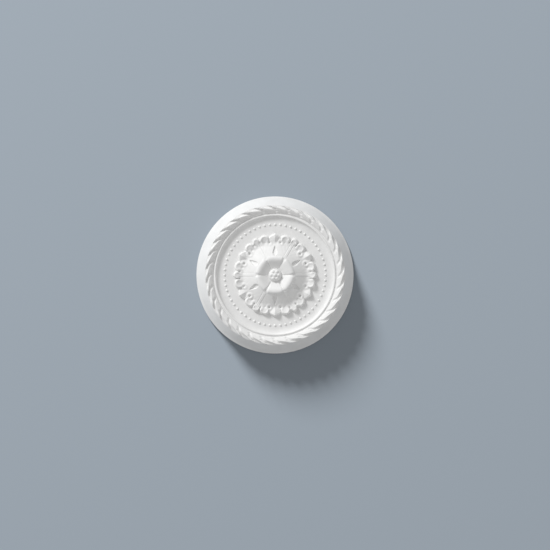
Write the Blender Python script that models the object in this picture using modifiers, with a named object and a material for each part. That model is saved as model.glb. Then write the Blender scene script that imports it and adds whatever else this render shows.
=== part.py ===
"""Ceiling rose moulded in one piece: rope-twist rim, ring of pearls, six acanthus leaves and a flower cup.

It lies face up with its flat back on z = 0 and the middle of the back at the origin. Lengths are in metres.
Angles are in degrees, counted clockwise from +Y as on a clock face.
"""

from math import asin, atan2, cos, degrees, hypot, pi, radians, sin

import bmesh
import bpy

# Radii and widths, from the middle out
CUP_RADIUS = 0.0345
LEAF_RADIUS = 0.0740
FIELD_WIDTH = 0.0198
COVE_WIDTH = 0.0109
FILLET_WIDTH = 0.0030
GROOVE_WIDTH = 0.0019
ROPE_WIDTH = 0.0142
FLANK_WIDTH = 0.0162

# Heights: the field's and the edge's above the back, the others above the field
FIELD_HEIGHT = 0.0160
EDGE_HEIGHT = 0.0030
FILLET_RISE = 0.0052
SHOULDER_RISE = 0.0082
LEAF_VALLEY_RISE = 0.0038
LEAF_TIP_RISE = 0.0056
DOME_RISE = 0.0165
CUP_RISE = 0.0200
BOSS_RISE = 0.0150

# The rope's strands
STRAND_COUNT = 32
STRAND_HALF_SWEEP = 8.5
STRAND_HEIGHT = 0.0034
ROPE_SWELL = 0.0020

# The pearls
PEARL_COUNT = 60
PEARL_DIAMETER = 0.0048
PEARL_RISE = 0.0020
PEARL_INSET = 0.0043

# The leaves
LEAF_COUNT = 6
LEAF_NOTCH_DEPTH = 0.0066
SEAM_HOLLOW_DEPTH = 0.0032
SEAM_RIDGE_RISE = 0.0024
RIB_RISE = 0.0005

# The cup's petals and the boss
PETAL_COUNT = 6
PETAL_NOTCH = 0.0018
LIP_WIDTH = 0.0054
CUP_DEPTH = 0.0100
BOSS_RADIUS = 0.0126
KNOB_COUNT = 6
KNOB_RADIUS = 0.0044
KNOB_RING_RADIUS = 0.0080
KNOB_STEP = 0.0012

# How fine the facets are, and how far one shape is sunk in the next
TURNING_STEPS = 64
STEPS_PER_STRAND = 4
CUP_STEPS = 36
SUNK = 0.0030

FIELD_OUTER_RADIUS = LEAF_RADIUS + FIELD_WIDTH
COVE_OUTER_RADIUS = FIELD_OUTER_RADIUS + COVE_WIDTH
FILLET_OUTER_RADIUS = COVE_OUTER_RADIUS + FILLET_WIDTH
ROPE_INNER_RADIUS = FILLET_OUTER_RADIUS + GROOVE_WIDTH
ROPE_OUTER_RADIUS = ROPE_INNER_RADIUS + ROPE_WIDTH
ROSE_RADIUS = ROPE_OUTER_RADIUS + FLANK_WIDTH
FILLET_HEIGHT = FIELD_HEIGHT + FILLET_RISE
SHOULDER_HEIGHT = FIELD_HEIGHT + SHOULDER_RISE
# The leaves start under the cup's lip and end inside its wall.
LEAF_START_RADIUS = CUP_RADIUS - 0.6 * PETAL_NOTCH
LEAF_ROOT_RADIUS = CUP_RADIUS - PETAL_NOTCH - 0.3 * LIP_WIDTH
# The cup's foot goes deeper than the leaves' root, so that no two faces coincide.
CUP_FOOT_DEPTH = 1.6 * SUNK


def clock_point(radius, angle, height):
    """The point at this radius and clock angle."""
    turn = radians(angle)
    return (radius * sin(turn), radius * cos(turn), height)


def from_middle(angle, period):
    """The angle from the nearest multiple of the period, from minus half a period to half a period."""
    return (angle + period / 2) % period - period / 2


def smooth(value):
    """A share that leaves 0 and reaches 1 gently."""
    share = min(max(value, 0.0), 1.0)
    return share * share * (3 - 2 * share)


def between(low, high, share):
    return low + (high - low) * share


def rolled(value, turn):
    """A share that runs straight up to the turn and then rolls over to reach 1 level."""
    share = min(max(value, 0.0), 1.0)
    slope = 2 / (1 + turn)
    if share < turn:
        return slope * share
    return 1 - slope * (1 - share) ** 2 / (2 * (1 - turn))


def new_collection(name):
    collection = bpy.data.collections.new(name)
    bpy.context.scene.collection.children.link(collection)
    return collection


def add_object(mesh, name, collection):
    thing = bpy.data.objects.new(name, mesh)
    collection.objects.link(thing)
    return thing


def mesh_from(shape, name):
    """A mesh that holds this bmesh, with its faces turned out."""
    bmesh.ops.recalc_face_normals(shape, faces=shape.faces[:])
    mesh = bpy.data.meshes.new(name)
    shape.to_mesh(mesh)
    shape.free()
    return mesh


def arc_points(centre, across, up, start, end, count):
    """Points on an ellipse's arc, as (radius, height), both ends among them."""
    points = []
    for index in range(count):
        turn = radians(between(start, end, index / (count - 1)))
        points.append((centre[0] + across * cos(turn), centre[1] + up * sin(turn)))
    return points


# Where the flank's slope changes, as shares of its width and of its height from the rope down
FLANK_TURNS = ((0.04, 0.03), (0.80, 0.86))


def rim_profile():
    """The turned outline from the middle of the field out to the back edge, as (radius, height)."""
    fillet_middle = (COVE_OUTER_RADIUS + FILLET_WIDTH / 2, FILLET_HEIGHT)
    profile = [(0.0, FIELD_HEIGHT)]
    # The cove hollows up from the field to the fillet, a fine half round.
    profile += arc_points((FIELD_OUTER_RADIUS, FILLET_HEIGHT), COVE_WIDTH, -FILLET_RISE, 90, 10, 4)
    profile += arc_points(fillet_middle, FILLET_WIDTH / 2, FILLET_WIDTH / 2, 180, 0, 3)[1:]
    # A slanting bed between the groove and the shoulder carries the rope.
    profile += [(ROPE_INNER_RADIUS, FILLET_HEIGHT), (ROPE_OUTER_RADIUS, SHOULDER_HEIGHT)]
    # The flank slants down to a short upright edge, a little flatter at its foot.
    for out, down in FLANK_TURNS:
        profile.append((ROPE_OUTER_RADIUS + out * FLANK_WIDTH, between(SHOULDER_HEIGHT, EDGE_HEIGHT, down)))
    profile += [(ROSE_RADIUS, EDGE_HEIGHT), (ROSE_RADIUS, 0.0), (0.0, 0.0)]
    return profile


def turned_body(collection):
    """The profile as a wire, turned about the rose's axis by a Screw modifier."""
    shape = bmesh.new()
    points = [shape.verts.new((radius, 0.0, height)) for radius, height in rim_profile()]
    for first, second in zip(points, points[1:]):
        shape.edges.new((first, second))
    mesh = bpy.data.meshes.new("ceiling_rose")
    shape.to_mesh(mesh)
    shape.free()
    body = add_object(mesh, "ceiling_rose", collection)
    turning = body.modifiers.new("turning", "SCREW")
    turning.axis = "Z"
    turning.angle = 2 * pi
    turning.steps = TURNING_STEPS
    turning.render_steps = TURNING_STEPS
    turning.use_merge_vertices = True
    turning.merge_threshold = 0.00001
    return body


def mould_ring(name, steps, rows, place, collection):
    """A torus whose points are moved to place(step, row), as (radius, angle, height).

    Steps go clockwise from +Y. Rows go from the outer edge over the top to the inner edge, then back below.
    """
    bpy.ops.mesh.primitive_torus_add(
        major_segments=steps, minor_segments=rows, major_radius=1.0, minor_radius=0.25
    )
    ring = bpy.context.active_object
    ring.name = name
    shape = bmesh.new()
    shape.from_mesh(ring.data)
    for vertex in shape.verts:
        x, y, z = vertex.co
        step = round(degrees(atan2(x, y)) / 360.0 * steps) % steps
        row = round(degrees(atan2(z, hypot(x, y) - 1.0)) / 360.0 * rows) % rows
        vertex.co = clock_point(*place(step, row))
    ring.data = mesh_from(shape, name)
    for owner in list(ring.users_collection):
        owner.objects.unlink(ring)
    collection.objects.link(ring)


# The rope's rows as shares of the way from the flank in to the groove, and its outer tip's share of its width
ROPE_ROWS = (0.0, 0.12, 0.28, 0.46, 0.64, 0.82, 1.0)
STRAND_TIP_WIDTH = 0.55


def rope_place(step, row):
    """A point of the rope band, whose columns follow the strands' S curve from the flank in to the groove."""
    share = (*ROPE_ROWS, 1.0, 0.0)[row]
    lead = STRAND_HALF_SWEEP * asin(2 * share - 1) / (pi / 2)
    angle = 360.0 * step / (STRAND_COUNT * STEPS_PER_STRAND) + lead
    radius = between(ROPE_OUTER_RADIUS, ROPE_INNER_RADIUS, share)
    height = between(SHOULDER_HEIGHT, FILLET_HEIGHT, share)
    if row >= len(ROPE_ROWS):
        return radius, angle, height - SUNK
    # A strand is sharp at its outer tip and rounds out to full width halfway in.
    from_crest = abs(2 * (step % STEPS_PER_STRAND) / STEPS_PER_STRAND - 1)
    half_width = between(STRAND_TIP_WIDTH, 1.0, smooth(2 * share))
    roundness = max(0.0, 1 - (from_crest / half_width) ** 1.8)
    swell = max(0.0, sin(pi * share)) ** 0.7
    return radius, angle, height + swell * (ROPE_SWELL + STRAND_HEIGHT * roundness) - 0.1 * SUNK


def mould_rope(collection):
    steps = STRAND_COUNT * STEPS_PER_STRAND
    mould_ring("rope_band", steps, len(ROPE_ROWS) + 2, rope_place, collection)


def lay_pearls(collection):
    """The ring of pearls, each sunk a little over half in the field."""
    shape = bmesh.new()
    bmesh.ops.create_uvsphere(shape, u_segments=6, v_segments=4, radius=PEARL_DIAMETER / 2)
    mesh = mesh_from(shape, "pearl")
    ring_radius = FIELD_OUTER_RADIUS - PEARL_INSET
    height = FIELD_HEIGHT + PEARL_RISE - PEARL_DIAMETER / 2
    for index in range(PEARL_COUNT):
        angle = 360.0 * index / PEARL_COUNT
        pearl = add_object(mesh, f"pearl_{index + 1:02d}", collection)
        pearl.location = clock_point(ring_radius, angle, height)
        pearl.rotation_euler = (0.0, 0.0, -radians(angle))


# The leaves' shape is given as shares of a leaf's own length and of its half width, seam to midrib.
# The columns crowd together at the notches that part a leaf's lobes.
LEAF_COLUMNS = (0.0, 0.15, 0.30, 0.42, 0.55, 0.68, 0.80, 0.90)
LEAF_ROWS = (0.985, 0.93, 0.86, 0.77, 0.66, 0.54, 0.42, 0.28, 0.14, 0.0)
LEAF_STEPS = 2 * LEAF_COUNT * len(LEAF_COLUMNS)
DOME_TURN_SHARE = 0.48
VALLEY_SHARE = 0.63
CREST_SHARE = 0.86
SEAM_LOBE_WIDTH = 0.30
RIB_START = 0.85


def lobe_fullness(from_seam):
    """How full a leaf's edge is, 1 at a lobe's tip and 0 in a notch.

    Each half leaf has a pointed lobe on the seam, a round one beside it and a round one on the midrib.
    """
    if from_seam < SEAM_LOBE_WIDTH:
        return 1.0 - from_seam / SEAM_LOBE_WIDTH
    middle, half_width = (0.55, 0.25) if from_seam < 0.80 else (1.0, 0.20)
    return max(0.0, 1.0 - abs((from_seam - middle) / half_width) ** 2.4)


def leaf_surface(share, from_seam):
    """Radius and rise above the field on a leaf, from the cup's wall at 0 to the leaf's edge at 1."""
    fullness = lobe_fullness(from_seam)
    tip_radius = LEAF_RADIUS - 0.3 * LEAF_NOTCH_DEPTH * (1 - smooth((from_seam - 0.7) / 0.3))
    radius = between(LEAF_START_RADIUS, between(LEAF_RADIUS - LEAF_NOTCH_DEPTH, tip_radius, fullness), share)
    rise = between(DOME_RISE, LEAF_VALLEY_RISE, rolled(share / VALLEY_SHARE, DOME_TURN_SHARE / VALLEY_SHARE))
    curl = smooth((share - VALLEY_SHARE) / (CREST_SHARE - VALLEY_SHARE))
    rise += curl * between(-0.2, 1.0, fullness ** 0.6) * (LEAF_TIP_RISE - LEAF_VALLEY_RISE)
    rise *= 1 - 0.45 * smooth((share - CREST_SHARE) / (1 - CREST_SHARE))
    # A pointed hollow parts two leaves beside the cup, and a ridge joins them further out.
    hollow_width = 0.34 * max(0.0, 1 - share / 0.45) ** 0.7
    if hollow_width > 0:
        rise -= SEAM_HOLLOW_DEPTH * smooth(1.4 * (1 - from_seam / hollow_width))
    ridge = max(0.0, 1 - from_seam / SEAM_LOBE_WIDTH)
    rise += SEAM_RIDGE_RISE * smooth((share - 0.45) / 0.2) * ridge
    # The midrib stands between two grooves.
    if from_seam > RIB_START:
        rib = smooth(share / 0.1) * smooth((0.97 - share) / 0.1)
        rise += RIB_RISE * rib * between(-2.0, 1.0, (from_seam - RIB_START) / (1 - RIB_START))
    return radius, rise


def leaf_place(step, row):
    """A point of the ring of leaves, each leaf mirrored about its midrib."""
    half = len(LEAF_COLUMNS)
    column = step % (2 * half)
    from_seam = (*LEAF_COLUMNS, 1.0)[column if column <= half else 2 * half - column]
    half_angle = 180.0 / LEAF_COUNT
    seam_angle = 2 * half_angle * (step // (2 * half))
    angle = seam_angle + half_angle * (from_seam if column <= half else 2.0 - from_seam)
    if row < len(LEAF_ROWS):
        radius, rise = leaf_surface(LEAF_ROWS[row], from_seam)
        return radius, angle, FIELD_HEIGHT + rise
    outer_radius = leaf_surface(1.0, from_seam)[0]
    radius, rise = (
        (LEAF_ROOT_RADIUS, DOME_RISE),
        (LEAF_ROOT_RADIUS, -SUNK),
        (outer_radius, -SUNK),
        (outer_radius, 0.3 * SUNK),
    )[row - len(LEAF_ROWS)]
    return radius, angle, FIELD_HEIGHT + rise


def mould_leaves(collection):
    mould_ring("leaf_ring", LEAF_STEPS, len(LEAF_ROWS) + 4, leaf_place, collection)


# Where a petal's inner face starts to roll over, as a share of its way from the boss to the lip
LIP_ROLL_START = 0.65


def cup_place(angle, row):
    """Radius and rise above the field on the cup, from the boss's top over the lip to the foot below."""
    across = from_middle(angle, 360.0 / PETAL_COUNT)
    edge_share = abs(across) / (180.0 / PETAL_COUNT)
    outer_radius = CUP_RADIUS - PETAL_NOTCH * edge_share ** 5
    lip_radius = outer_radius - LIP_WIDTH
    lip_rise = CUP_RISE - 0.5 * PETAL_NOTCH * edge_share ** 3
    floor_rise = CUP_RISE - CUP_DEPTH
    if row < 4:
        turn = radians((0, 38, 68, 90)[row])
        return BOSS_RADIUS * sin(turn), between(floor_rise, BOSS_RISE, 0.68 * cos(turn))
    if row < 8:
        # A petal's inner face is flat across, so that neighbours meet in a crease, and rolls over at the lip.
        share = (0.06, 0.58, 0.80, 1.0)[row - 4]
        crease = 0.6 * CUP_DEPTH * (1 - cos(radians(across)))
        rise = between(floor_rise, lip_rise - crease, rolled(share, LIP_ROLL_START))
        return between(BOSS_RADIUS, lip_radius, share), rise
    wall = (
        (lip_radius + 0.6 * LIP_WIDTH, between(lip_rise, DOME_RISE, 0.3)),
        (outer_radius, DOME_RISE + 0.1 * SUNK),
        (outer_radius, -CUP_FOOT_DEPTH),
        (0.5 * lip_radius, -CUP_FOOT_DEPTH),
        (0.0, -CUP_FOOT_DEPTH),
    )
    return wall[row - 8]


def mould_cup(collection):
    """The flower cup with its boss, a sphere whose rows are reshaped to six petals round a rounded middle."""
    row_count = 12
    shape = bmesh.new()
    bmesh.ops.create_uvsphere(shape, u_segments=CUP_STEPS, v_segments=row_count, radius=1.0)
    for vertex in shape.verts:
        x, y, z = vertex.co
        row = round(degrees(atan2(hypot(x, y), z)) / 180.0 * row_count)
        angle = degrees(atan2(x, y))
        radius, rise = cup_place(angle, row)
        vertex.co = clock_point(radius, angle, FIELD_HEIGHT + rise)
    add_object(mesh_from(shape, "flower_cup"), "flower_cup", collection)


def lay_knobs(collection):
    """The boss's small knobs, one in the middle and a ring about it."""
    shape = bmesh.new()
    bmesh.ops.create_uvsphere(shape, u_segments=6, v_segments=5, radius=KNOB_RADIUS)
    mesh = mesh_from(shape, "knob")
    height = FIELD_HEIGHT + BOSS_RISE - KNOB_RADIUS
    middle = add_object(mesh, "knob_middle", collection)
    middle.location = (0.0, 0.0, height)
    for index in range(KNOB_COUNT):
        angle = 360.0 * (index + 0.5) / KNOB_COUNT
        knob = add_object(mesh, f"knob_{index + 1}", collection)
        knob.location = clock_point(KNOB_RING_RADIUS, angle, height - KNOB_STEP)
        knob.rotation_euler = (0.0, 0.0, -radians(angle))


def white_moulding():
    """Smooth white moulding with a dull primer finish."""
    material = bpy.data.materials.new("white_moulding")
    material.use_nodes = True
    shader = material.node_tree.nodes["Principled BSDF"]
    shader.inputs["Base Color"].default_value = (0.84, 0.84, 0.83, 1.0)
    shader.inputs["Roughness"].default_value = 0.62
    shader.inputs["Metallic"].default_value = 0.0
    return material


def build():
    for thing in list(bpy.data.objects):
        bpy.data.objects.remove(thing)
    parts = new_collection("Ceiling rose")
    ornament = new_collection("Ornament joined to the body")
    body = turned_body(parts)
    mould_rope(ornament)
    lay_pearls(ornament)
    mould_leaves(ornament)
    mould_cup(ornament)
    lay_knobs(ornament)
    for thing in ornament.objects:
        thing.hide_render = True
        thing.display_type = "WIRE"
    joining = body.modifiers.new("ornament", "BOOLEAN")
    joining.operation = "UNION"
    joining.operand_type = "COLLECTION"
    joining.collection = ornament
    joining.solver = "EXACT"
    body.data.materials.append(white_moulding())


build()
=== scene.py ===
# %% [markdown]
# A moulded ceiling rose
#
# The real rose is one light casting, 28 cm across: a plain sloping flank, a rope twist, a dished field
# with a ring of pearls, six acanthus leaves and a flower cup with a boss. It comes out of one mould, so
# every edge is a little soft and the back is flat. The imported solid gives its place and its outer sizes.
# This script lays finer carving over the same sizes, piece by piece, and finishes it in matt white.

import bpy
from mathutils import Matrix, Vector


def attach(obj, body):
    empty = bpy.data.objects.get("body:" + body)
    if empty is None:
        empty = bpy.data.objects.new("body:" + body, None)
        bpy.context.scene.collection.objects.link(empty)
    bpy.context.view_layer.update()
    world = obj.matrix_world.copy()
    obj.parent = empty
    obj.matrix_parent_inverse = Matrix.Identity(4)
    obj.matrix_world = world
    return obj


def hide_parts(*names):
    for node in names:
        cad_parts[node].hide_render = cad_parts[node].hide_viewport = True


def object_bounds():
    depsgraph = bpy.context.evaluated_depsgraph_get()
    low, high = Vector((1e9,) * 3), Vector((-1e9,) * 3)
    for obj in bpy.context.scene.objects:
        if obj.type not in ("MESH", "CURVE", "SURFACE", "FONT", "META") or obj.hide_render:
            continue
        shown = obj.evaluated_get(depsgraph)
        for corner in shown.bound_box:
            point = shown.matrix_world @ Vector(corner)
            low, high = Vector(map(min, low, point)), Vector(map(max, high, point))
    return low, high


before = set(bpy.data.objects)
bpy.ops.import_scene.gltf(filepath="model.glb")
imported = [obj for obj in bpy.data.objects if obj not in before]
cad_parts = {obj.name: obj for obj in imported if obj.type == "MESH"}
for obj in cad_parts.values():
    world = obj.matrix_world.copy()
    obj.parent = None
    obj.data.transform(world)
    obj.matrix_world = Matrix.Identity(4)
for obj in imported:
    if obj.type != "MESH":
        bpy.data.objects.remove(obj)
cad_low, cad_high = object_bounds()
print("frame box in mm:", [round(1000 * size, 1) for size in (*cad_low, *cad_high)])

# %% [markdown]
# Radii and heights
#
# A carver of such a rose turns the rings first and carves afterwards, so the ring widths are the
# driving sizes. They are taken off the outer radius one after the other, from the flank inwards, and
# the radius and the full height come from the frame, which keeps the carving on the solid it dresses.

# %% Ring radii and heights
ROSE_RADIUS = cad_high.x - 0.00002
LIP_HEIGHT = cad_high.z - 0.00002

FLANK_WIDTH = 0.0162
ROPE_WIDTH = 0.0142
GROOVE_WIDTH = 0.0019
FILLET_WIDTH = 0.0030
COVE_WIDTH = 0.0109
FIELD_WIDTH = 0.0198

ROPE_OUTER_RADIUS = ROSE_RADIUS - FLANK_WIDTH
ROPE_INNER_RADIUS = ROPE_OUTER_RADIUS - ROPE_WIDTH
FILLET_OUTER_RADIUS = ROPE_INNER_RADIUS - GROOVE_WIDTH
COVE_OUTER_RADIUS = FILLET_OUTER_RADIUS - FILLET_WIDTH
FIELD_OUTER_RADIUS = COVE_OUTER_RADIUS - COVE_WIDTH
LEAF_RADIUS = FIELD_OUTER_RADIUS - FIELD_WIDTH
CUP_RADIUS = 0.0345

CUP_RISE = 0.0200
FIELD_HEIGHT = LIP_HEIGHT - CUP_RISE
EDGE_HEIGHT = 0.0030
FILLET_HEIGHT = FIELD_HEIGHT + 0.0052
SHOULDER_HEIGHT = FIELD_HEIGHT + 0.0082
ROOT_DEPTH = 0.0030
print("leaf radius in mm:", round(1000 * LEAF_RADIUS, 2), "field height:", round(1000 * FIELD_HEIGHT, 2))

# %% [markdown]
# Small helpers
#
# Everything on a rose is laid out round a centre, so points are given by radius, clock angle and
# height. Four easing helpers shape the carving: a mix, a smooth step, a straight run that rolls over
# at its end, and a soft groove section.

# %% Places and easing
from math import cos, exp, hypot, pi, radians, sin

import bmesh
import bpy
from mathutils import Matrix, Vector


def clock_point(radius, angle, height):
    """The point at this radius and clock angle, in degrees from +Y towards +X."""
    turn = radians(angle)
    return Vector((radius * sin(turn), radius * cos(turn), height))


def between(low, high, share):
    return low + (high - low) * share


def smooth(value):
    """A share that leaves 0 and reaches 1 gently."""
    share = min(max(value, 0.0), 1.0)
    return share * share * (3 - 2 * share)


def rolled(value, turn):
    """A share that runs straight up to the turn and then rolls over to reach 1 level."""
    share = min(max(value, 0.0), 1.0)
    slope = 2 / (1 + turn)
    if share < turn:
        return slope * share
    return 1 - slope * (1 - share) ** 2 / (2 * (1 - turn))


def hump(distance, half_width):
    """A soft ridge or groove section: 1 on the line, 0 from half_width on."""
    return smooth(1 - abs(distance) / half_width)


def from_middle(angle, period):
    """The angle from the nearest multiple of the period."""
    return (angle + period / 2) % period - period / 2


# %% [markdown]
# Two ways to make a carved ring
#
# A carved band could be sculpted by hand, or displaced by a height picture. Here the mesh is a plain
# grid of rings and columns, and a function says where each crossing goes. The same function then
# gives the same carving at any fineness, and the mesh stays closed, which an export needs. A ring
# closes back under itself. A turned piece closes at the middle of its top and of its bottom.

# %% Grids of rows and columns
def piece_from(shape, name):
    """A smooth shaded object that holds this bmesh, its faces turned out."""
    bmesh.ops.recalc_face_normals(shape, faces=shape.faces[:])
    mesh = bpy.data.meshes.new(name)
    shape.to_mesh(mesh)
    shape.free()
    mesh.shade_smooth()
    piece = bpy.data.objects.new(name, mesh)
    bpy.context.scene.collection.objects.link(piece)
    print(name, "has", len(mesh.polygons), "faces")
    return piece


def grid_rows(shape, steps, rows, place):
    """One column of points for each step round the rose, each column from its first row to its last."""
    columns = []
    for step in range(steps):
        columns.append([shape.verts.new(clock_point(*place(step, row))) for row in range(rows)])
    return columns


def join_columns(shape, columns, row_pairs):
    for here, there in zip(columns, columns[1:] + columns[:1]):
        for row, below in row_pairs:
            shape.faces.new((here[row], there[row], there[below], here[below]))


def ring_piece(name, steps, rows, place):
    """A carved band whose last row joins its first, like a bent tube."""
    shape = bmesh.new()
    columns = grid_rows(shape, steps, rows, place)
    join_columns(shape, columns, [(row, (row + 1) % rows) for row in range(rows)])
    return piece_from(shape, name)


def turned_piece(name, steps, rows, place):
    """A piece whose first and last rows meet on the axis, where their points are merged."""
    shape = bmesh.new()
    columns = grid_rows(shape, steps, rows, place)
    join_columns(shape, columns, [(row, row + 1) for row in range(rows - 1)])
    bmesh.ops.remove_doubles(shape, verts=shape.verts[:], dist=0.000001)
    return piece_from(shape, name)


def ball_piece(name, centres, radius, segments, rings):
    """Balls of one size at these centres, all in one piece."""
    shape = bmesh.new()
    for centre in centres:
        place = Matrix.Translation(centre)
        bmesh.ops.create_uvsphere(shape, u_segments=segments, v_segments=rings, radius=radius, matrix=place)
    return piece_from(shape, name)


def arc(centre, across, up, start, end, count):
    """Points on an ellipse's arc, as (radius, height), both ends among them."""
    turns = [radians(between(start, end, index / (count - 1))) for index in range(count)]
    return [(centre[0] + across * cos(turn), centre[1] + up * sin(turn)) for turn in turns]


# %% [markdown]
# The turned ground
#
# Under the carving lies a plain turned shape: the flat field, a cove that rises to a thin half-round
# fillet, a slanting bed for the rope, and the flank that slants down to the ceiling. On a lathe this
# is one profile. A Screw modifier would turn it too, but the grid helper keeps all pieces alike.

# %% Ground profile
TURNING_STEPS = 360
FILLET_BULGE = 0.0010
FLANK_FLARE = 0.08
EDGE_ROUND = 0.0009
BACK_ROUND = 0.0006


def flank_place(out):
    """A point of the flank: straight from the rope down, then a little flatter towards its foot."""
    down = (1 + FLANK_FLARE) * out - FLANK_FLARE * max(0.0, (out - 0.72) / 0.28) ** 2
    return ROPE_OUTER_RADIUS + FLANK_WIDTH * out, between(SHOULDER_HEIGHT, EDGE_HEIGHT, down)


def ground_profile():
    """From the middle of the field out over the rim to the middle of the back."""
    fillet_middle = (COVE_OUTER_RADIUS + FILLET_WIDTH / 2, FILLET_HEIGHT)
    cove_top = (FIELD_OUTER_RADIUS, FILLET_HEIGHT)
    cove_depth = FILLET_HEIGHT - FIELD_HEIGHT
    profile = [(radius, FIELD_HEIGHT) for radius in (0.0, 0.8 * LEAF_RADIUS, 0.9 * FIELD_OUTER_RADIUS)]
    profile += arc(cove_top, COVE_WIDTH, -cove_depth, 90, 8, 18)
    profile += arc(fillet_middle, FILLET_WIDTH / 2, FILLET_BULGE, 180, 0, 11)[1:]
    profile += [(ROPE_INNER_RADIUS, FILLET_HEIGHT), (ROPE_OUTER_RADIUS, SHOULDER_HEIGHT)]
    profile += [flank_place(index / 24) for index in range(1, 24)]
    profile += arc((ROSE_RADIUS - EDGE_ROUND, EDGE_HEIGHT - EDGE_ROUND), EDGE_ROUND, EDGE_ROUND, 60, 0, 6)
    profile += arc((ROSE_RADIUS - BACK_ROUND, BACK_ROUND), BACK_ROUND, BACK_ROUND, 0, -90, 5)
    return profile + [(0.5 * ROSE_RADIUS, 0.0), (0.0, 0.0)]


GROUND_PROFILE = ground_profile()


def ground_place(step, row):
    radius, height = GROUND_PROFILE[row]
    return radius, 360.0 * step / TURNING_STEPS, height


ground = turned_piece("moulded_ground", TURNING_STEPS, len(GROUND_PROFILE), ground_place)

# %% [markdown]
# The rope twist
#
# The rim's rope is a band of 32 strands. Each starts on the flank with a tip that lies along the band,
# then crosses the band and runs out along it. Between two strands the flank reaches in and up to the
# band's crown, under the next strand's tip like a hook. The grid's columns follow the strands' bend, so
# a strand's section is simply a bump across the columns.

# %% Rope strands
STRAND_COUNT = 32
STRAND_PHASE = -0.4
TIP_SWEEP = 3.6
TIP_SHARE = 0.06
STRAND_CROSSING = 7.6
TAIL_SWEEP = 3.2
STRAND_END = 0.78
STRAND_HALF_WIDTH = 0.27
CROWN_SHARE = 0.70
BAND_RISE = 0.0056
TRACE_DEPTH = 0.0019
STRAND_STEPS = 26
STRAND_ROWS = 40
SMOOTH_ROWS = 10


def strand_lead(share):
    """How far round a strand has come, in degrees: it crosses the band, but bends along it twice."""
    tip = 1 - exp(-share / TIP_SHARE)
    return TIP_SWEEP * tip + STRAND_CROSSING * share + TAIL_SWEEP * smooth((share - 0.24) / 0.26)


def band_height(across, share):
    """The band's height above its bed, across a strand from 0 to 1 and at a share from flank to groove."""
    strand = BAND_RISE * smooth(share / 0.09) * max(0.0, 1 - share ** 2.2) ** 0.6
    strand *= between(0.76, 1.0, smooth(share / 0.4))
    gap = strand * smooth(share / CROWN_SHARE)
    from_crest = abs(across - 0.5)
    half_width = between(STRAND_HALF_WIDTH, 0.66, smooth((share - 0.40) / 0.30))
    height = between(gap, strand, smooth((half_width - from_crest) / 0.18))
    trace = smooth((share - 0.35) / 0.25) * smooth((0.97 - share) / 0.22)
    return height - TRACE_DEPTH * trace * smooth((from_crest - 0.28) / 0.22)


def rope_place(step, row):
    """Rows run from the flank over the crown to the groove, and the last two lie under the band."""
    share = STRAND_END * min(1.0, row / STRAND_ROWS) ** 1.3
    if row > STRAND_ROWS:
        share = between(STRAND_END, 1.0, min(1.0, (row - STRAND_ROWS) / SMOOTH_ROWS))
    under = row - STRAND_ROWS - SMOOTH_ROWS
    share = 0.0 if under == 2 else share
    lead = strand_lead(min(share, STRAND_END))
    angle = 360.0 * step / (STRAND_COUNT * STRAND_STEPS) + lead + STRAND_PHASE
    radius = between(ROPE_OUTER_RADIUS, ROPE_INNER_RADIUS, share)
    height = between(SHOULDER_HEIGHT, FILLET_HEIGHT, share)
    if under > 0:
        return radius, angle, height - ROOT_DEPTH
    across = (step % STRAND_STEPS) / STRAND_STEPS
    return radius, angle, height + band_height(across, share) - 0.1 * ROOT_DEPTH


rope = ring_piece("rope_twist", STRAND_COUNT * STRAND_STEPS, STRAND_ROWS + SMOOTH_ROWS + 3, rope_place)

# %% [markdown]
# The pearls
#
# Sixty small pearls ring the field. Each is a ball sunk a little over half, as a beading tool leaves
# it. They share one mesh piece, because the mould makes them with the ground that they sit on.

# %% Ring of pearls
PEARL_COUNT = 60
PEARL_DIAMETER = 0.0048
PEARL_RISE = 0.0017
PEARL_INSET = 0.0043


def pearl_centres():
    radius = FIELD_OUTER_RADIUS - PEARL_INSET
    height = FIELD_HEIGHT + PEARL_RISE - PEARL_DIAMETER / 2
    return [clock_point(radius, 360.0 * index / PEARL_COUNT, height) for index in range(PEARL_COUNT)]


pearls = ball_piece("pearl_ring", pearl_centres(), PEARL_DIAMETER / 2, 20, 14)

# %% [markdown]
# The acanthus leaves, in plan
#
# Six leaves lie round the cup, each mirrored about its midrib. Between two leaves a pointed lobe with
# a roof ridge shows, the tip of a leaf behind. Beside it comes a round side lobe, then the lobe that
# ends the midrib. Angles here count from the seam between two leaves, so 0 is the seam and 30 the
# midrib. The outline is drawn first, because the relief is fitted inside it.

# %% Leaf outline
LEAF_COUNT = 6
HALF_LEAF = 180.0 / LEAF_COUNT
SEAM_NOTCH_ANGLE = 9.0
RIB_NOTCH_ANGLE = 24.5
NOTCH_RADIUS = LEAF_RADIUS - 0.0054
SEAM_TIP_RADIUS = LEAF_RADIUS
SIDE_TIP_RADIUS = LEAF_RADIUS - 0.0008
RIB_TIP_RADIUS = LEAF_RADIUS + 0.0002
SIDE_LOBE_ANGLE = (SEAM_NOTCH_ANGLE + RIB_NOTCH_ANGLE) / 2
SIDE_LOBE_HALF = (RIB_NOTCH_ANGLE - SEAM_NOTCH_ANGLE) / 2
RIB_LOBE_HALF = HALF_LEAF - RIB_NOTCH_ANGLE


def across_lobe(seam_angle):
    """Which lobe this angle is in, and how far across it, from -1 to 1 with 0 on the lobe's middle."""
    if seam_angle < SEAM_NOTCH_ANGLE:
        return "seam", seam_angle / SEAM_NOTCH_ANGLE
    if seam_angle < RIB_NOTCH_ANGLE:
        return "side", (seam_angle - SIDE_LOBE_ANGLE) / SIDE_LOBE_HALF
    return "rib", (seam_angle - HALF_LEAF) / RIB_LOBE_HALF


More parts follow.
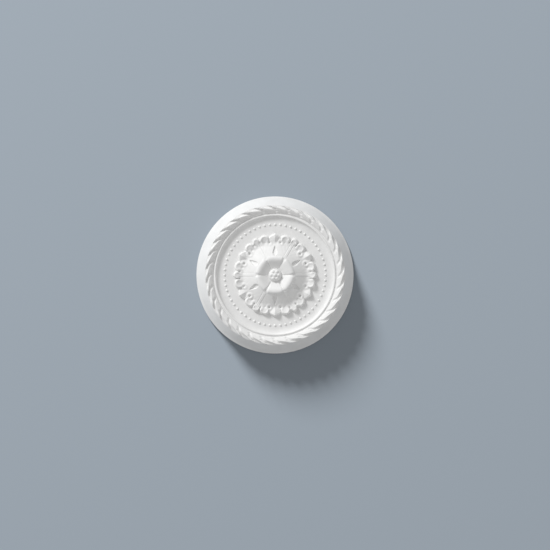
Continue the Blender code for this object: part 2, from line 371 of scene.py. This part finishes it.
def leaf_edge(seam_angle):
    """The radius of the leaves' outline."""
    lobe, across = across_lobe(seam_angle)
    if lobe == "seam":
        return between(SEAM_TIP_RADIUS, NOTCH_RADIUS, abs(across) ** 1.15)
    tip_radius = SIDE_TIP_RADIUS if lobe == "side" else RIB_TIP_RADIUS
    return between(tip_radius, NOTCH_RADIUS, abs(across) ** 2.6)


# %% [markdown]
# The leaves' relief
#
# From the cup a leaf falls straight and then levels out. Its lobes swell to a low crest, hollow inside
# like spoons, and slope down again to their tips. Where two lobes part there is a drilled eye with a
# raised curl round it, and a pointed hollow parts two leaves beside the cup. Each of these is one short
# function of radius and angle, and the leaf's height is their sum, so one term can be tuned at a time.

# %% Fall of the leaf and its lobes
DOME_RISE = 0.0165
VALLEY_RISE = 0.0038
TIP_RISE = 0.0068
DOME_TURN_RADIUS = 0.0534
VALLEY_RADIUS = 0.0594
ROOF_START_RADIUS = 0.0550
ROOF_FULL_RADIUS = 0.0700
ROOF_RISE = 0.0040
TIP_SLOPE_WIDTH = 0.0030
TIP_SLOPE_LOSS = 0.50


def leaf_fall(radius):
    """The bare leaf, straight down from the cup and then levelling out to the valley."""
    run = VALLEY_RADIUS - CUP_RADIUS
    turn = (DOME_TURN_RADIUS - CUP_RADIUS) / run
    return between(DOME_RISE, VALLEY_RISE, rolled((radius - CUP_RADIUS) / run, turn))


def spoon(across, outward):
    """A round lobe's curl: low in its bowl, high on the crest round it, nothing in its notches."""
    rim = hypot(across, max(0.0, outward - 0.40) / 0.56)
    bowl = 0.62 + 0.38 * exp(-(((rim - 0.74) / 0.27) ** 2))
    sides = smooth((1.02 - abs(across)) / 0.34)
    return smooth(outward / 0.66) * between(-0.25, bowl, sides)


def roof(radius, seam_angle):
    """The pointed seam lobe: two faces that lean on a ridge, wider and higher towards the tip."""
    outward = (radius - ROOF_START_RADIUS) / (ROOF_FULL_RADIUS - ROOF_START_RADIUS)
    half_width = between(2.0, SEAM_NOTCH_ANGLE, min(max(outward, 0.0), 1.0))
    return smooth(1.2 * outward) * max(0.0, 1 - seam_angle / half_width)


def lobe_rise(radius, seam_angle):
    """What the lobes add beyond the valley."""
    outward = (radius - VALLEY_RADIUS) / (leaf_edge(seam_angle) - VALLEY_RADIUS)
    outward = min(max(outward, 0.0), 1.0)
    lobe, across = across_lobe(seam_angle)
    if lobe == "seam":
        return ROOF_RISE * roof(radius, seam_angle)
    return (TIP_RISE - VALLEY_RISE) * spoon(across, outward)


def slope_to_tip(radius, seam_angle):
    """The share of its height that a leaf keeps past its crest."""
    past = (radius - (leaf_edge(seam_angle) - TIP_SLOPE_WIDTH)) / TIP_SLOPE_WIDTH
    return 1 - TIP_SLOPE_LOSS * smooth(past)


# %% Hollows, rib, veins and eyes
HOLLOW_DEPTH = 0.0030
HOLLOW_WIDE_RADIUS = 0.0400
HOLLOW_END_RADIUS = 0.0540
HOLLOW_HALF_ANGLE = 6.5
RIB_RISE = 0.0004
RIB_HALF_WIDTH = 0.0028
RIB_GROOVE_DEPTH = 0.0005
VEIN_DEPTH = 0.00016
VEIN_HALF_WIDTH = 0.0014
EYE_DEPTH = 0.0027
EYE_HALF_WIDTH = 0.0027
CURL_RISE = 0.0009
EYES = ((0.0580, 9.8, 1.0), (0.0630, 24.4, 0.55), (0.0590, 17.0, 0.25))
VEINS = (((0.0400, 24.0), (0.0578, 10.0)), ((0.0440, 27.0), (0.0645, 17.0)))


def flat_place(radius, seam_angle):
    """A point of half a leaf laid flat: along the seam, and away from it."""
    return radius * cos(radians(seam_angle)), radius * sin(radians(seam_angle))


def distance_to_vein(radius, seam_angle, start, end):
    """How far a point is from a vein that runs straight between two points given by radius and angle."""
    x, y = flat_place(radius, seam_angle)
    x0, y0 = flat_place(*start)
    x1, y1 = flat_place(*end)
    run = hypot(x1 - x0, y1 - y0)
    along = ((x - x0) * (x1 - x0) + (y - y0) * (y1 - y0)) / run**2
    along = min(max(along, 0.0), 1.0)
    return hypot(x - between(x0, x1, along), y - between(y0, y1, along)), along


def seam_hollow(radius, seam_angle):
    """A drop-shaped hollow on the seam, blunt towards the cup and pointed outwards."""
    if radius < HOLLOW_WIDE_RADIUS:
        taper = max(0.0, 1 - ((HOLLOW_WIDE_RADIUS - radius) / 0.0055) ** 2) ** 0.5
    else:
        taper = max(0.0, (HOLLOW_END_RADIUS - radius) / (HOLLOW_END_RADIUS - HOLLOW_WIDE_RADIUS))
    half_width = radius * radians(HOLLOW_HALF_ANGLE) * taper
    inside = half_width - radius * radians(seam_angle)
    return smooth(inside / 0.0014) * smooth(2.5 * taper)


def midrib(radius, seam_angle):
    """A barely raised flat rib between two fine grooves, along the middle of the leaf."""
    aside = radius * radians(HALF_LEAF - seam_angle)
    ends = smooth((radius - CUP_RADIUS - 0.001) / 0.004) * smooth((LEAF_RADIUS - 0.0015 - radius) / 0.003)
    rib = smooth((RIB_HALF_WIDTH - aside) / 0.0010)
    return ends * (RIB_RISE * rib - RIB_GROOVE_DEPTH * hump(aside - RIB_HALF_WIDTH, 0.0009))


def drilled_eye(radius, seam_angle, eye_radius, eye_angle, share):
    """A drilled eye, and the curl that stands round it."""
    x, y = flat_place(radius, seam_angle)
    eye_x, eye_y = flat_place(eye_radius, eye_angle)
    away = hypot(x - eye_x, y - eye_y)
    curl = CURL_RISE * hump(away - 1.5 * EYE_HALF_WIDTH, 1.3 * EYE_HALF_WIDTH)
    return share * (curl - EYE_DEPTH * hump(away, EYE_HALF_WIDTH))


def leaf_rise(radius, seam_angle, hand):
    """The leaf's height above the field. The hand makes some half leaves' lobes fuller than others'."""
    fullness = 1 + hand * sin(pi * seam_angle / HALF_LEAF)
    rise = leaf_fall(radius) + fullness * lobe_rise(radius, seam_angle) + midrib(radius, seam_angle)
    rise -= HOLLOW_DEPTH * seam_hollow(radius, seam_angle)
    rise += (1 - 1.6 * hand) * sum(drilled_eye(radius, seam_angle, *eye) for eye in EYES)
    for start, end in VEINS:
        distance, along = distance_to_vein(radius, seam_angle, start, end)
        rise -= VEIN_DEPTH * smooth(3 * along) * hump(distance, VEIN_HALF_WIDTH)
    return rise * slope_to_tip(radius, seam_angle)


# %% [markdown]
# Making the ring of leaves
#
# The columns run out from the cup and the rows follow the outline, so that the notches stay crisp.
# Past the outline the sheet rolls over and dives back under the tips into the ground, which leaves
# the thin dark line that a real casting shows behind its leaf tips. HAND makes the half leaves differ
# a little in fullness, by a fixed rule, because no two lobes of a hand-carved pattern are quite alike.

# %% Ring of leaves
HALF_LEAF_STEPS = 48
HAND = 0.24
LEAF_ROWS = 92
LEAF_ROOT_RADIUS = CUP_RADIUS - 0.0036
LEAF_TOP_INSET = 0.0003
LEAF_FOOT_INSET = 0.0010
LEAF_EDGE_ROWS = ((-0.0001, 0.80), (-0.0005, 0.45), (-0.0009, 0.10))


def leaf_place(step, row):
    """Rows run from the cup to the outline, then over the edge and back underneath."""
    column = step % (2 * HALF_LEAF_STEPS)
    angle = HALF_LEAF * step / HALF_LEAF_STEPS
    seam_angle = HALF_LEAF * min(column, 2 * HALF_LEAF_STEPS - column) / HALF_LEAF_STEPS
    hand = HAND * sin(2.4 * (step // HALF_LEAF_STEPS) + 1.0)
    edge = leaf_edge(seam_angle)
    if row < LEAF_ROWS:
        radius = between(LEAF_ROOT_RADIUS, edge - LEAF_TOP_INSET, row / (LEAF_ROWS - 1))
        return radius, angle, FIELD_HEIGHT + leaf_rise(radius, seam_angle, hand)
    if row < LEAF_ROWS + len(LEAF_EDGE_ROWS):
        inset, share = LEAF_EDGE_ROWS[row - LEAF_ROWS]
        rise = share * leaf_rise(edge - LEAF_TOP_INSET, seam_angle, hand)
        return edge + inset, angle, FIELD_HEIGHT + rise
    radius = (edge - LEAF_FOOT_INSET, LEAF_ROOT_RADIUS)[row - LEAF_ROWS - len(LEAF_EDGE_ROWS)]
    return radius, angle, FIELD_HEIGHT - ROOT_DEPTH


leaf_rows = LEAF_ROWS + len(LEAF_EDGE_ROWS) + 2
leaves = ring_piece("acanthus_leaves", 2 * HALF_LEAF_STEPS * LEAF_COUNT, leaf_rows, leaf_place)

# %% [markdown]
# The flower cup
#
# Six petals stand round the boss like a shallow cup. Each inner face is nearly flat across, so that
# neighbours meet in a crease, and it rolls over into a broad soft lip. The lip's plan is a soft hexagon
# with a nick at each crease. One petal's section runs from the boss to the lip and down its outside.

# %% Flower cup
PETAL_COUNT = 6
HALF_PETAL = 180.0 / PETAL_COUNT
PETAL_CORNER = 0.0012
PETAL_NICK = 0.0020
LIP_WIDTH = 0.0054
LIP_DROP = 0.0010
LIP_ROLL_START = 0.62
LIP_ROLL_ANGLE = 78.0
CUP_DEPTH = 0.0100
CREASE_DEPTH = 0.0009
BOSS_RADIUS = 0.0117
BOSS_RISE = 0.0180
CUP_STEPS = 288
BOSS_ROWS = 14
FACE_ROWS = 34
LIP_ROWS = 14


def boss_rise(radius):
    """The height above the field of the boss's dome, half an ellipse that stands in the cup."""
    floor_rise = CUP_RISE - CUP_DEPTH
    return floor_rise + (BOSS_RISE - floor_rise) * max(0.0, 1 - (radius / BOSS_RADIUS) ** 2) ** 0.5


def lip_place(across):
    """Radius and rise of the lip's crest at this angle from a petal's middle."""
    edge_share = abs(across) / HALF_PETAL
    nick = hump(1 - edge_share, 0.28)
    radius = CUP_RADIUS - LIP_WIDTH + PETAL_CORNER * edge_share**2 - PETAL_NICK * nick
    return radius, CUP_RISE - LIP_DROP * edge_share**4 - 0.6 * PETAL_NICK * nick


def petal_face(across, share):
    """A point of a petal's inner face, from the boss's foot at 0 to the lip's crest at 1."""
    lip_radius, lip_rise = lip_place(across)
    floor_rise = CUP_RISE - CUP_DEPTH
    crease = 0.9 * CUP_DEPTH * (1 - cos(radians(across))) * (1 - smooth((share - 0.6) / 0.4))
    groove = CREASE_DEPTH * hump(HALF_PETAL - abs(across), 5.0) * smooth(3 * share)
    rise = between(floor_rise, lip_rise, rolled(share, LIP_ROLL_START))
    rise -= crease * smooth(2 * share) + groove
    return between(BOSS_RADIUS, lip_radius, share), rise


def petal_back(across, share):
    """A point of a petal's outside, from the lip's crest down into the leaves."""
    lip_radius, lip_rise = lip_place(across)
    turn, whole_turn = radians(LIP_ROLL_ANGLE * share), radians(LIP_ROLL_ANGLE)
    drop = (1 - cos(turn)) / (1 - cos(whole_turn))
    radius = lip_radius + LIP_WIDTH * sin(turn) / sin(whole_turn)
    return radius, between(lip_rise, DOME_RISE - LIP_DROP, drop)


def cup_place(step, row):
    angle = 360.0 * step / CUP_STEPS
    across = from_middle(angle, 2 * HALF_PETAL)
    if row < BOSS_ROWS:
        radius = BOSS_RADIUS * sin(0.5 * pi * row / BOSS_ROWS)
        return radius, angle, FIELD_HEIGHT + boss_rise(radius)
    row -= BOSS_ROWS
    if row < FACE_ROWS:
        radius, rise = petal_face(across, row / (FACE_ROWS - 1))
        return radius, angle, FIELD_HEIGHT + rise
    row -= FACE_ROWS
    if row < LIP_ROWS:
        radius, rise = petal_back(across, (row + 1) / LIP_ROWS)
        return radius, angle, FIELD_HEIGHT + rise
    foot_radius = lip_place(across)[0]
    foot = ((foot_radius + 0.5 * LIP_WIDTH, 0.0), (0.5 * foot_radius, -ROOT_DEPTH), (0.0, -ROOT_DEPTH))
    radius, rise = foot[row - LIP_ROWS]
    return radius, angle, FIELD_HEIGHT + rise


cup = turned_piece("flower_cup", CUP_STEPS, BOSS_ROWS + FACE_ROWS + LIP_ROWS + 3, cup_place)

# %% [markdown]
# The boss
#
# The flower's heart is a cluster of seven small knobs on the boss, one on top and six about it. Each is
# a ball, let deep into the boss's dome, by the same helper that lays the pearls.

# %% Knobs of the boss
KNOB_COUNT = 6
KNOB_RADIUS = 0.0031
KNOB_RING_RADIUS = 0.0064
KNOB_SHOWING = 0.0015


def knob_centre(radius, angle):
    """The middle of a knob, so far under the boss's dome that only its cap shows."""
    return clock_point(radius, angle, FIELD_HEIGHT + boss_rise(radius) + KNOB_SHOWING - KNOB_RADIUS)


knob_centres = [knob_centre(0.0, 0.0)]
for index in range(KNOB_COUNT):
    knob_centres.append(knob_centre(KNOB_RING_RADIUS, 360.0 * (index + 0.5) / KNOB_COUNT))
knobs = ball_piece("boss_knobs", knob_centres, KNOB_RADIUS, 36, 24)

# %% [markdown]
# The finish
#
# Such a rose leaves the mould with a smooth, dull white skin. Seen close it is never one flat white:
# the primer is a touch thinner here and there, the gloss wanders, and the skin has a fine orange peel,
# slight dents and a few pinholes from the foam. Noise in the object's own space gives all of these at
# their real size, in metres, without an unwrapped picture. What doesn't vary goes on the shader itself.

# %% Matt white moulding
TONE_THIN = (0.815, 0.815, 0.810, 1.0)
TONE_THICK = (0.860, 0.860, 0.855, 1.0)
BLOTCH_SIZE = 0.018
GLOSS_SIZE = 0.006
PEEL_SIZE = 0.0009
PEEL_DEPTH = 0.00006
DENT_SIZE = 0.0045
DENT_DEPTH = 0.00022
PINHOLE_SPACING = 0.009
PINHOLE_DEPTH = 0.00015


def add_node(tree, kind, **settings):
    node = tree.nodes.new(kind)
    for name, value in settings.items():
        setattr(node, name, value)
    return node


def noise(tree, coordinates, size, detail):
    """Noise whose blotches are about this size, in metres."""
    node = add_node(tree, "ShaderNodeTexNoise")
    node.inputs["Scale"].default_value = 1 / size
    node.inputs["Detail"].default_value = detail
    tree.links.new(coordinates, node.inputs["Vector"])
    return node.outputs["Fac"]


def spread(tree, value, low, high, to_low, to_high):
    """Maps a value from one range to another."""
    node = add_node(tree, "ShaderNodeMapRange")
    for name, number in zip(("From Min", "From Max", "To Min", "To Max"), (low, high, to_low, to_high)):
        node.inputs[name].default_value = number
    tree.links.new(value, node.inputs["Value"])
    return node.outputs["Result"]


def bump(tree, height, strength, depth, under=None):
    """A relief in the skin, laid over the one under it."""
    node = add_node(tree, "ShaderNodeBump")
    node.inputs["Strength"].default_value = strength
    node.inputs["Distance"].default_value = depth
    tree.links.new(height, node.inputs["Height"])
    if under is not None:
        tree.links.new(under, node.inputs["Normal"])
    return node.outputs["Normal"]


def white_moulding():
    material = bpy.data.materials.new("white_moulding")
    material.use_nodes = True
    tree = material.node_tree
    shader = tree.nodes["Principled BSDF"]
    coordinates = add_node(tree, "ShaderNodeTexCoord").outputs["Object"]
    tone = add_node(tree, "ShaderNodeMix", data_type="RGBA")
    tone.inputs["A"].default_value = TONE_THIN
    tone.inputs["B"].default_value = TONE_THICK
    blotches = spread(tree, noise(tree, coordinates, BLOTCH_SIZE, 4.0), 0.35, 0.65, 0.0, 1.0)
    tree.links.new(blotches, tone.inputs["Factor"])
    tree.links.new(tone.outputs["Result"], shader.inputs["Base Color"])
    gloss = spread(tree, noise(tree, coordinates, GLOSS_SIZE, 3.0), 0.3, 0.7, 0.56, 0.68)
    tree.links.new(gloss, shader.inputs["Roughness"])
    holes = add_node(tree, "ShaderNodeTexVoronoi")
    holes.inputs["Scale"].default_value = 1 / PINHOLE_SPACING
    tree.links.new(coordinates, holes.inputs["Vector"])
    pinholes = spread(tree, holes.outputs["Distance"], 0.02, 0.05, 0.0, 1.0)
    skin = bump(tree, noise(tree, coordinates, PEEL_SIZE, 2.0), 0.25, PEEL_DEPTH)
    skin = bump(tree, noise(tree, coordinates, DENT_SIZE, 1.0), 0.5, DENT_DEPTH, skin)
    skin = bump(tree, pinholes, 0.5, PINHOLE_DEPTH, skin)
    tree.links.new(skin, shader.inputs["Normal"])
    shader.inputs["IOR"].default_value = 1.46
    return material


white = white_moulding()

# %% [markdown]
# Dressing the frame
#
# All pieces are one casting, so they ride on the same body, take the same finish and together stand
# for the imported solid. The ground replaces it, and the carving rides along.

# %% Ride, finish and hide the solid
rose_pieces = (ground, rope, pearls, leaves, cup, knobs)
for piece in rose_pieces:
    piece.data.materials.append(white)
    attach(piece, "root")
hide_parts("ceiling_rose")
print("faces in all:", sum(len(piece.data.polygons) for piece in rose_pieces))

# %% [markdown]
# Floor, light and camera
#
# The rose lies face up on a plain blue-grey floor. One broad lamp stands low at the upper left and
# far away, so that the shadows in the carving are long, soft and nearly parallel. The shadow on the
# floor is longer and darker than that lamp would throw, so the floor has a lower lamp of its own, by
# light linking. An even sky fills the shade. The camera looks straight down from far off.

# %% Floor
FLOOR_SIDE = 12.0
FLOOR_GAP = 0.0002
FLOOR_COLOUR = (0.248, 0.284, 0.322, 1.0)


def plain_floor():
    shape = bmesh.new()
    bmesh.ops.create_grid(shape, x_segments=1, y_segments=1, size=FLOOR_SIDE / 2)
    floor = piece_from(shape, "floor")
    floor.location.z = -FLOOR_GAP
    paint = bpy.data.materials.new("floor_paint")
    paint.use_nodes = True
    shader = paint.node_tree.nodes["Principled BSDF"]
    shader.inputs["Base Color"].default_value = FLOOR_COLOUR
    shader.inputs["Roughness"].default_value = 0.9
    shader.inputs["Specular IOR Level"].default_value = 0.0
    floor.data.materials.append(paint)
    return floor


floor = plain_floor()

# %% Lights and sky
ROSE_LAMP = {"clock_angle": -40.0, "elevation": 29.0, "distance": 10.0, "width": 2.8, "power": 700.0}
FLOOR_LAMP = {"clock_angle": -28.0, "elevation": 14.5, "distance": 13.0, "width": 2.5, "power": 5500.0}
SKY_STRENGTH = 0.50


def broad_lamp(name, lit_things, clock_angle, elevation, distance, width, power):
    """A round lamp that faces the rose and lights only the things listed, though all of them shade it."""
    data = bpy.data.lights.new(name, "AREA")
    data.shape = "DISK"
    data.size = width
    data.energy = power
    lamp = bpy.data.objects.new(name, data)
    bpy.context.scene.collection.objects.link(lamp)
    low = radians(elevation)
    lamp.location = clock_point(distance * cos(low), clock_angle, distance * sin(low))
    lamp.rotation_euler = lamp.location.to_track_quat("Z", "Y").to_euler()
    lit = bpy.data.collections.new(name + "_lights")
    for thing in lit_things:
        lit.objects.link(thing)
    lamp.light_linking.receiver_collection = lit


def even_sky():
    world = bpy.data.worlds.new("even_sky")
    world.use_nodes = True
    background = world.node_tree.nodes["Background"]
    background.inputs["Color"].default_value = (1.0, 1.0, 1.0, 1.0)
    background.inputs["Strength"].default_value = SKY_STRENGTH
    bpy.context.scene.world = world


broad_lamp("rose_lamp", rose_pieces, **ROSE_LAMP)
broad_lamp("floor_lamp", [floor], **FLOOR_LAMP)
even_sky()
bpy.context.scene.view_settings.view_transform = "Standard"

# %% Camera
PHOTO_SIDE = 550
ROSE_ACROSS_IN_PHOTO = 157.0
CAMERA_LENS = 100.0
SENSOR_WIDTH = 36.0


def camera_above():
    """Looks straight down, far enough off to give the rose its share of the picture."""
    data = bpy.data.cameras.new("camera")
    data.lens = CAMERA_LENS
    data.sensor_width = SENSOR_WIDTH
    camera = bpy.data.objects.new("camera", data)
    bpy.context.scene.collection.objects.link(camera)
    seen_width = 2 * ROSE_RADIUS * PHOTO_SIDE / ROSE_ACROSS_IN_PHOTO
    camera.location = (0.0, 0.0, seen_width * CAMERA_LENS / SENSOR_WIDTH)
    bpy.context.scene.camera = camera


camera_above()
